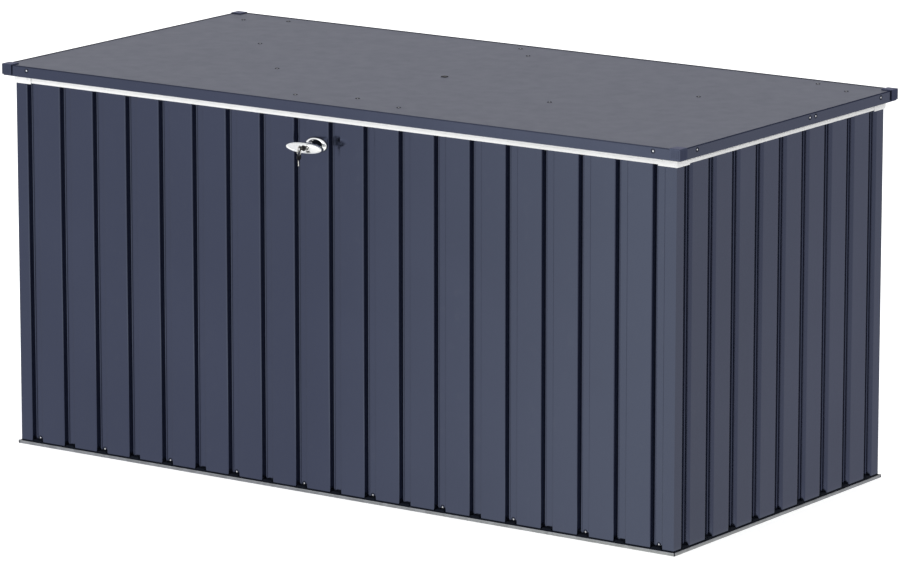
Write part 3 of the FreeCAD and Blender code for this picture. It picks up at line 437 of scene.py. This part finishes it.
def screw_head(height):
    """Dome head with a cross recess, standing on the origin along +Z."""
    bm, tools = bmesh.new(), bmesh.new()
    sphere = (HEAD ** 2 + height ** 2) / (2 * height)
    dome = [(HEAD - 0.25, 0.0), (HEAD, 0.12), (HEAD, 0.35)]
    for step in range(1, 8):
        radius = (HEAD - 0.02) * math.cos(math.pi / 2 * step / 8)
        dome.append((radius, max(0.36, math.sqrt(sphere ** 2 - radius ** 2) - sphere + height - 0.02)))
    turned(bm, (0, 0, 0), (0, 0, 1), dome + [(0.3, height - 0.03)], 32)
    for turn in (0.0, math.pi / 2):
        wing = bmesh.ops.create_cube(tools, size=1.0)["verts"]
        for vert in wing:
            taper = 0.62 if vert.co.z < 0 else 1.0
            reach, thick = 3.0 * taper * vert.co.x, 0.6 * vert.co.y
            tall = height - 1.1 if vert.co.z < 0 else height + 0.6
            vert.co = Matrix.Rotation(turn, 3, "Z") @ Vector((reach, thick, tall)) * MM
    return carved(bm, tools)


def add_screws(node, body, washers=True):
    metal, rubber = bmesh.new(), bmesh.new()
    heads = {}
    for points in solids_of(node):
        seat, outward, height, length = screw_seat(points)
        key = round(height, 2)
        if key not in heads:
            made = screw_head(height)
            heads[key] = bpy.data.meshes.new(node + "_head")
            made.to_mesh(heads[key])
            made.free()
        before = len(metal.verts)
        metal.from_mesh(heads[key])
        metal.verts.ensure_lookup_table()
        turn = outward.to_track_quat("Z", "Y").to_matrix().to_4x4()
        place = Matrix.Translation(seat) @ turn
        bmesh.ops.transform(metal, matrix=place, verts=metal.verts[before:])
        thread = [(SHANK - 0.3, 0.15), (SHANK - 0.3, -1.0)]
        turns = int((length - 2.2) / 0.9)
        for i in range(turns):
            top = -1.0 - 0.9 * i
            thread += [(SHANK, top - 0.45), (SHANK - 0.38, top - 0.9)]
        thread += [(SHANK - 0.5, -length + 0.7), (SHANK - 1.1, -length + 0.05)]
        turned(metal, seat, outward, thread, 18)
        if washers:
            turned(rubber, seat, outward, [(HEAD + 0.03, 0.02), (HEAD + 0.03, WASHER_THICK),
                                           (HEAD + 0.4, WASHER_THICK + 0.05), (WASHER_OUT - 0.25, 0.5),
                                           (WASHER_OUT, 0.25), (WASHER_OUT, 0.02)], 32, loop=True)
    piece = add_piece(node.replace("screws", "screw_set"), metal, screw_metal, body)
    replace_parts(piece, node)
    if washers:
        ring = add_piece(node.replace("screws", "screw_washers"), rubber, rubber_and_shadow_black, body)
        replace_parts(ring, node)
    else:
        rubber.free()


for screw_node, screw_body, with_washers in (
        ("base_screws", "box", True), ("rim_screws", "box", False), ("lid_screws", "lid", True),
        ("fascia_screws", "lid", True), ("hinge_screws", "box", False), ("strut_screws", "lid", True),
        ("lock_screws", "box", False)):
    add_screws(screw_node, screw_body, with_washers)


# ---- T-handle lock --------------------------------------------------------------------
def box_mm(node):
    low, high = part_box(node)
    return Vector(low), Vector(high)


def add_handle():
    """Crowned oval handle with a rolled rim, one piece with its stem."""
    low, high = box_mm("t_handle")
    middle = Vector(((low.x + high.x) / 2, low.y, (low.z + high.z) / 2))
    half, tall = (high.x - low.x) / 2 / MM, (high.z - low.z) / 2 / MM
    depth = (high.y - low.y) / MM
    profile = [(6.06, 6.06, 17.9), (6.06, 6.06, 0.9), (6.45, 6.45, 0.5)]
    for step in range(1, 9):
        part = step / 9
        wide = 6.45 + (half - 6.0 - 6.45) * part
        high_ = 6.45 + (tall - 3.6 - 6.45) * part
        profile.append((wide, high_, 0.5 + 0.7 * part ** 2))
    profile += [(half - 5.6, tall - 3.3, 1.25), (half - 5.2, tall - 3.0, 1.75),
                (half - 4.4, tall - 2.7, 1.7), (half - 3.9, tall - 2.4, 0.6),
                (half - 3.0, tall - 1.9, 0.1), (half - 2.1, tall - 1.4, 0.25),
                (half - 1.0, tall - 0.7, 1.2), (half - 0.25, tall - 0.2, 2.6),
                (half, tall, 4.2), (half, tall, 9.2), (half - 0.6, tall - 0.6, 11.2),
                (half - 2.0, tall - 1.7, 12.6), (half - 4.5, tall - 2.3, 13.0), (26.0, 10.3, 13.0),
                (13.5, 10.2, 13.1), (11.0, 10.1, 13.9), (9.95, 9.95, 15.5), (9.95, 9.95, depth - 0.8),
                (9.3, 9.3, depth - 0.02), (6.03, 6.03, depth - 0.02), (6.03, 6.03, depth - 5.95)]
    bm = bmesh.new()
    loft(bm, ovals(middle, profile))
    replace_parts(add_piece("t_handle_grip", bm, chrome, "handle", 50.0), "t_handle")


def add_lock_plate():
    """Stepped chrome rose, a rubber gasket under it and a bellows collar round the stem."""
    low, high = box_mm("lock_base_plate")
    wall = high.y
    middle = Vector(((low.x + high.x) / 2, wall, (low.z + high.z) / 2))
    half, tall = (high.x - low.x) / 2 / MM, (high.z - low.z) / 2 / MM
    depth = (high.y - low.y) / MM
    plate, rubber = bmesh.new(), bmesh.new()
    rings = [(11.2, 11.2, -0.9), (11.2, 11.2, -4.7), (11.6, 11.6, -5.0), (half - 9.0, tall - 3.6, -5.0),
             (half - 6.5, tall - 3.0, -4.9), (half - 5.6, tall - 2.6, -4.3), (half - 3.4, tall - 1.9, -4.0),
             (half - 1.3, tall - 0.9, -3.2), (half - 0.2, tall - 0.2, -2.0), (half, tall, -1.4),
             (half, tall, -0.9)]
    loft(plate, ovals(middle, rings), loop=True)
    pockets = bmesh.new()
    for points in solids_of("lock_screws"):
        seat, outward, _, _ = screw_seat(points)
        turned(pockets, seat, outward, [(SHANK + 0.25, -3.0), (SHANK + 0.25, 0.0), (HEAD + 0.2, 0.0),
                                        (HEAD + 0.2, 2.6), (HEAD + 0.9, 3.6)], 32)
    plate = carved(plate, pockets)
    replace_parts(add_piece("lock_rose", plate, chrome, "box", 50.0), "lock_base_plate")
    gasket = [(11.1, 11.1, -0.02), (11.1, 11.1, -0.85), (half + 0.4, tall + 0.4, -0.85),
              (half + 0.9, tall + 0.9, -0.5), (half + 0.9, tall + 0.9, -0.02)]
    loft(rubber, ovals(middle, gasket), loop=True)
    collar = [(6.1, -0.02), (10.9, -0.02), (10.9, -5.2)]
    fold = -5.2
    while fold > -depth + 2.4:
        collar += [(9.6, fold - 0.8), (9.6, fold - 1.2), (10.95, fold - 2.0), (10.95, fold - 2.5)]
        fold -= 2.5
    collar += [(10.6, -depth + 0.02), (6.1, -depth + 0.02)]
    turned(rubber, middle, (0, 1, 0), collar, 56, loop=True)
    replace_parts(add_piece("lock_gasket", rubber, rubber_and_shadow_black, "box"), "lock_base_plate")


def add_key_barrel():
    low, high = box_mm("key_cylinder")
    middle = Vector(((low.x + high.x) / 2, low.y, (low.z + high.z) / 2))
    deep = (high.y - low.y) / MM
    key_low, key_high = box_mm("key")
    bm, slot = bmesh.new(), bmesh.new()
    turned(bm, middle, (0, 1, 0), [(3.6, 0.45), (3.9, 0.1), (4.4, 0.0), (5.5, 0.0), (5.97, 0.5),
                                   (5.97, deep)], 48)
    play = 0.2 * MM
    tall = 2.6 * MM + play
    rounded_box(slot, (key_low.x - play, middle.y - 0.002, middle.z - tall),
                (key_high.x + play, middle.y + 0.0148, middle.z + tall), 0.15)
    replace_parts(add_piece("key_barrel", carved(bm, slot), black_plastic, "lock_core"),
                "key_cylinder")


def key_blade(bm, x, gauge, root, tip, across, spine, cuts):
    """Toothed blade from root to tip along one axis, spine and edge across another."""
    along = (tip - root).normalized()
    reach = (tip - root).length
    outline = [root + across * spine, tip + across * spine * 0.6, tip + along * 0.0 - across * spine * 0.2]
    count = len(cuts)
    for i, depth in enumerate(cuts):
        middle = tip - along * reach * (0.16 + 0.68 * i / count)
        for shift in (-0.028, 0.012):
            outline.append(middle - along * reach * (shift + 0.028) - across * spine * (1.0 - depth))
    outline.append(root - across * spine)
    rings = []
    for side in (-1, 1):
        rings.append([point + Vector((side * gauge / 2, 0, 0)) for point in outline])
    loft(bm, rings)


def key_head(bm, middle, gauge, radius, hole, bore, ease=0.5, lip=0.8):
    """Round head with a hole, its rim thinner than its middle."""
    count = 40
    rings = []
    for wide, side in ((bore, -lip), (bore + ease, -1.0), (None, -1.0), (radius - 0.4, -0.9), (radius, -0.5),
                       (radius, 0.5), (radius - 0.4, 0.9), (None, 1.0), (bore + ease, 1.0), (bore, lip)):
        ring = []
        for a in (math.tau * i / count for i in range(count)):
            turn = Vector((0, math.cos(a), math.sin(a)))
            if wide is None:
                point = middle + turn * (radius - 1.3) * MM
            elif wide < radius - 1.3:
                point = hole + turn * wide * MM
            else:
                point = middle + turn * wide * MM
            ring.append(point + Vector((side * gauge / 2, 0, 0)))
        rings.append(ring)
    loft(bm, rings, loop=True)


def add_keys():
    low, high = box_mm("key")
    gauge = high.x - low.x
    x = (low.x + high.x) / 2
    radius = (high.z - low.z) / 2 / MM
    middle = Vector((x, low.y + radius * MM, (low.z + high.z) / 2))
    hole = middle - Vector((0, radius / 3, 0)) * MM
    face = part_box("t_handle")[0][1]
    metal, grip = bmesh.new(), bmesh.new()
    key_head(metal, middle, gauge * 0.8, radius, hole, 3.5)
    key_blade(metal, x, gauge * 0.8, Vector((x, middle.y + (radius - 0.6) * MM, middle.z)),
              Vector((x, face + 0.0117, middle.z)), Vector((0, 0, 1)), 2.5 * MM, (0.1, 0.35, 0.2, 0.4))
    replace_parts(add_piece("key_metal_part", metal, key_metal, "lock_core"), "key")
    key_head(grip, middle, gauge * 1.0, 7.1, hole, 3.45, 0.75, 0.45)
    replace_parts(add_piece("key_grip", grip, black_plastic, "lock_core"), "key")

    low, high = box_mm("spare_key")
    x = (low.x + high.x) / 2
    radius = (high.y - low.y) / 2 / MM
    middle = Vector((x, (low.y + high.y) / 2, high.z - radius * MM))
    hole = middle + Vector((0, 0, radius / 2)) * MM
    head, blade = bmesh.new(), bmesh.new()
    key_head(head, middle, gauge, radius * 0.99, hole, 2.2)
    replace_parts(add_piece("spare_key_head", head, black_plastic, "key_bunch"), "spare_key")
    key_blade(blade, x, gauge * 0.9, Vector((x, middle.y, middle.z - (radius - 0.5) * MM)),
              Vector((x, middle.y, low.z + 0.02 * MM)), Vector((0, 1, 0)), 2.55 * MM, (0.15, 0.4, 0.2, 0.35))
    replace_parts(add_piece("spare_key_blade", blade, key_metal, "key_bunch"), "spare_key")


add_handle()
add_lock_plate()
add_key_barrel()
add_keys()


# ---- foot of the walls ----------------------------------------------------------------
VALLEY_SHADOW_TOP = 11.6               # black blocks painted as the shade at the foot of each valley, mm above the ground
# top of the black strip painted as the shadow line above the rail, mm above the ground
RAIL_SHADOW_TOP = 9.6


def valleys(wall, along):
    """Where the rib floors of a wall start and end along its length."""
    low, high = box_mm(wall)
    across = 1 - along
    inner = high[across] - 0.0012 if abs(low[across]) > abs(high[across]) else low[across] + 0.0012
    spots = sorted({round(v.co[along], 4) for v in nodes[wall].data.vertices
                    if abs(v.co[across] - inner) < 0.0014 and v.co.z < low.z + 0.001})
    runs = []
    for spot in spots:
        if runs and spot - runs[-1][1] < 0.040:
            runs[-1][1] = spot
        else:
            runs.append([spot, spot])
    return [run for run in runs if run[1] - run[0] > 0.015]


def add_wall_foot(wall, rail, along):
    """Black strip painted as the shadow line between the wall's flats and the rail's lip, with black blocks
    painted as the shade in the foot of each valley.
    """
    low, high = box_mm(wall)
    lip = min(v.co.z for v in nodes[rail].data.vertices if v.co.z > 0.005)
    across = 1 - along
    outward = -1 if abs(low[across]) > abs(high[across]) else 1
    flat = low[across] if outward < 0 else high[across]
    bm = bmesh.new()

    def strip(start, end, inside, outside, bottom, top):
        corner_a, corner_b = [0, 0, bottom], [0, 0, top]
        corner_a[along], corner_b[along] = start, end
        corner_a[across], corner_b[across] = sorted((flat - outward * inside * MM, flat + outward * outside * MM))
        rounded_box(bm, corner_a, corner_b, 0.25)

    # painted shadow: a black strip on the flats just above the rail's lip
    strip(low[along] + 0.0005, high[along] - 0.0005, -0.03, 1.1, lip - 0.0006, RAIL_SHADOW_TOP * MM)
    # painted shade: a black block standing in the foot of each valley
    for start, end in valleys(wall, along):
        strip(start + 0.0004, end - 0.0004, 11.4, -0.06, lip - 0.004, VALLEY_SHADOW_TOP * MM)
    add_piece("foot_painted_shadow_" + wall.split("_")[1], bm, rubber_and_shadow_black, "box")


for wall_side, wall_axis in (("front", 0), ("back", 0), ("left", 1), ("right", 1)):
    add_wall_foot("wall_" + wall_side, "base_rail_" + wall_side, wall_axis)


def around_box(bm, half_w, half_d, profile):
    """Sweep a profile of (outward, up) in mm round a rectangle; mitred corners."""
    corners = [(-1, -1), (1, -1), (1, 1), (-1, 1)]
    rings = [[Vector((sx * (half_w + out * MM), sy * (half_d + out * MM), up * MM)) for out, up in profile]
             for sx, sy in corners]
    loft(bm, rings, loop=True)


def add_rail_hem():
    """Rolled upper edge of the base rail, proud of its lip."""
    low, high = box_mm("base_rail_front")
    side = box_mm("base_rail_right")[1]
    lip = min(v.co.z for v in nodes["base_rail_front"].data.vertices if v.co.z > 0.005) / MM
    bm = bmesh.new()
    profile = [(0.02, lip - 3.4), (0.5, lip - 3.3), (0.85, lip - 2.6), (0.95, lip - 1.6), (0.8, lip - 0.7),
               (0.3, lip + 0.15), (-0.5, lip + 0.3), (-1.3, lip + 0.1), (-1.3, lip + 0.02), (0.02, lip + 0.02)]
    around_box(bm, side.x, -low.y, profile)
    add_piece("rail_hem", bm, hem_zinc, "box", 60.0)
    beads = bmesh.new()
    for sx in (-1, 1):
        for sy in (-1, 1):
            turned(beads, (sx * side.x, sy * -low.y, 0.0005), (0, 0, 1),
                   [(0.9, 0.0), (1.25, 0.5), (1.25, lip - 1.0), (0.7, lip + 0.1)], 14)
    add_piece("rail_corner_sealant", beads, rubber_and_shadow_black, "box")


add_rail_hem()


def add_lid_hem():
    """Folded hem standing a little above the lid's edge, in paint darkened as painted shade, with a thin black
    strip just inside it painted as the shadow of a groove.
    """
    low, high = box_mm("lid_panel")
    top = high.z / MM
    bm = bmesh.new()
    profile = [(-2.2, top + 0.02), (-2.2, top + 0.5), (-1.9, top + 1.0), (-1.2, top + 1.25), (-0.5, top + 1.1),
               (0.0, top + 0.5), (0.12, top - 0.4), (0.12, top - 1.1), (0.02, top - 1.2), (0.02, top + 0.02)]
    around_box(bm, high.x, high.y, profile)
    add_piece("lid_hem", bm, hem_shaded_paint, "lid", 60.0)
    # painted shadow: a thin black strip on the lid just inside the hem
    hem_shadow_strip = bmesh.new()
    around_box(hem_shadow_strip, high.x, high.y, [(-3.4, top + 0.01), (-3.4, top + 0.12), (-2.2, top + 0.12),
                                        (-2.2, top + 0.01)])
    add_piece("lid_hem_painted_shadow", hem_shadow_strip, rubber_and_shadow_black, "lid")


add_lid_hem()


# ---- corner caps ----------------------------------------------------------------------
def add_cap_ribs(node):
    """Fine moulded ribs on a cap's two outer faces."""
    low, high = box_mm(node)
    bm = bmesh.new()
    left, front = high.x < 0, high.y < 0
    x_out, y_out = (low.x if left else high.x), (low.y if front else high.y)
    sx, sy = (-1 if left else 1), (-1 if front else 1)
    for step in range(4):
        inset = (5.2 + 5.4 * step) * MM
        for base in ((x_out - sx * inset, y_out - sy * 0.15 * MM), (x_out - sx * 0.15 * MM, y_out - sy * inset)):
            turned(bm, (base[0], base[1], low.z + 3.0 * MM), (0, 0, 1),
                   [(0.25, 0.0), (0.55, 0.6), (0.55, 17.4), (0.25, 18.0)], 12)
    add_piece(node.replace("corner_cap", "cap_ribs"), bm, cap_plastic, "lid")


for cap_node in ("corner_cap_front_left", "corner_cap_front_right", "corner_cap_back_left",
                 "corner_cap_back_right"):
    add_cap_ribs(cap_node)


# ---- floor, light ---------------------------------------------------------------------
def seen_directly(tree):
    """1 for camera, glossy and transmission rays, so that metal shows the pale room too."""
    path = tree.nodes.new("ShaderNodeLightPath")
    either = None
    for name in ("Is Camera Ray", "Is Glossy Ray", "Is Transmission Ray"):
        if either is None:
            either = path.outputs[name]
            continue
        node = tree.nodes.new("ShaderNodeMath")
        node.operation = "MAXIMUM"
        tree.links.new(either, node.inputs[0])
        tree.links.new(path.outputs[name], node.inputs[1])
        either = node.outputs["Value"]
    return either


ROOM_LEVEL = 1.1


def make_world():
    world = bpy.data.worlds.new("room")
    scene.world = world
    world.use_nodes = True
    tree = world.node_tree
    background = tree.nodes["Background"]
    strength = tree.nodes.new("ShaderNodeMapRange")
    tree.links.new(seen_directly(tree), strength.inputs["Value"])
    strength.inputs["To Min"].default_value = ROOM_LEVEL
    strength.inputs["To Max"].default_value = 1.0
    tree.links.new(strength.outputs["Result"], background.inputs["Strength"])
    background.inputs["Color"].default_value = (1.0, 1.0, 1.0, 1.0)


def painted_floor_reflection(tree):
    """Painted reflection: an emission that only glossy rays see in the floor, its colour ramped by position, so
    that the polished sheet mirrors a floor brighter to one side than the other.
    """
    place = tree.nodes.new("ShaderNodeNewGeometry").outputs["Position"]

    def ramp(direction, start, end, low, high):
        dot = tree.nodes.new("ShaderNodeVectorMath")
        dot.operation = "DOT_PRODUCT"
        tree.links.new(place, dot.inputs[0])
        dot.inputs[1].default_value = direction
        node = tree.nodes.new("ShaderNodeMapRange")
        node.data_type = "FLOAT_VECTOR"
        node.interpolation_type = "LINEAR"
        tree.links.new(dot.outputs["Value"], node.inputs[6])
        node.inputs[7].default_value = (start,) * 3
        node.inputs[8].default_value = (end,) * 3
        node.inputs[9].default_value = low
        node.inputs[10].default_value = high
        return node.outputs["Vector"]

    front = ramp((1.0, -0.70, 0.0), 0.2, 1.2, FRONT_SHINE[0], FRONT_SHINE[1])
    side = ramp((-1.43, 1.0, 0.0), -1.72, -0.86, SIDE_SHINE[0], SIDE_SHINE[1])
    which = ramp((1.0, 0.0, 0.0), 0.88, 0.94, (0.0, 0.0, 0.0), (1.0, 1.0, 1.0))
    mix = tree.nodes.new("ShaderNodeMix")
    mix.data_type = "VECTOR"
    mix.factor_mode = "NON_UNIFORM"
    tree.links.new(which, mix.inputs[1])
    tree.links.new(front, mix.inputs[4])
    tree.links.new(side, mix.inputs[5])
    return mix.outputs[1]


# colours at the ends of the painted floor reflection's ramps, for the front walls and for the side wall
FRONT_SHINE = ((0.97, 0.97, 0.98), (1.46, 1.46, 1.32))
SIDE_SHINE = ((0.86, 0.85, 0.83), (0.82, 0.82, 0.85))


def make_floor():
    mesh = bpy.data.meshes.new("floor")
    half = 30.0
    mesh.from_pydata([(-half, -half, 0), (half, -half, 0), (half, half, 0), (-half, half, 0)], [],
                     [(0, 1, 2, 3)])
    floor = bpy.data.objects.new("floor", mesh)
    floor.location.z = cad_low.z - 0.0005
    scene.collection.objects.link(floor)
    material = bpy.data.materials.new("pale_floor")
    material.use_nodes = True
    tree = material.node_tree
    tree.nodes.clear()
    output = tree.nodes.new("ShaderNodeOutputMaterial")
    diffuse = tree.nodes.new("ShaderNodeBsdfDiffuse")
    diffuse.inputs["Color"].default_value = (0.82, 0.82, 0.82, 1.0)
    glow = tree.nodes.new("ShaderNodeEmission")
    glow.inputs["Strength"].default_value = FLOOR_GLOW
    # painted reflection: glossy rays see this position-ramped emission instead of the lit floor
    shine = tree.nodes.new("ShaderNodeEmission")
    tree.links.new(painted_floor_reflection(tree), shine.inputs["Color"])
    add = tree.nodes.new("ShaderNodeAddShader")
    tree.links.new(diffuse.outputs["BSDF"], add.inputs[0])
    tree.links.new(glow.outputs["Emission"], add.inputs[1])
    path = tree.nodes.new("ShaderNodeLightPath")
    below = diffuse.outputs["BSDF"]
    for ray, shader in (("Is Camera Ray", add), ("Is Transmission Ray", add), ("Is Glossy Ray", shine)):
        mixer = tree.nodes.new("ShaderNodeMixShader")
        tree.links.new(path.outputs[ray], mixer.inputs["Fac"])
        tree.links.new(below, mixer.inputs[1])
        tree.links.new(shader.outputs[0], mixer.inputs[2])
        below = mixer.outputs["Shader"]
    tree.links.new(below, output.inputs["Surface"])
    mesh.materials.append(material)


FLOOR_GLOW = 0.5


def area_light(name, place, size, power, aim=(0.0, 0.0, 0.45), shine=True):
    data = bpy.data.lights.new(name, "AREA")
    data.shape = "RECTANGLE"
    data.size, data.size_y = size
    data.energy = power
    lamp = bpy.data.objects.new(name, data)
    lamp.location = place
    lamp.rotation_mode = "QUATERNION"
    lamp.rotation_quaternion = (Vector(aim) - Vector(place)).to_track_quat("-Z", "Y")
    lamp.visible_glossy = shine
    scene.collection.objects.link(lamp)


make_world()
make_floor()
area_light("left_box", (-4.0, -3.4, 1.0), (0.9, 0.9), 40.0, shine=False)
area_light("front_box", (-1.0, -3.2, 1.3), (1.4, 1.4), 12.0, aim=(0.9, -0.4, 0.5))
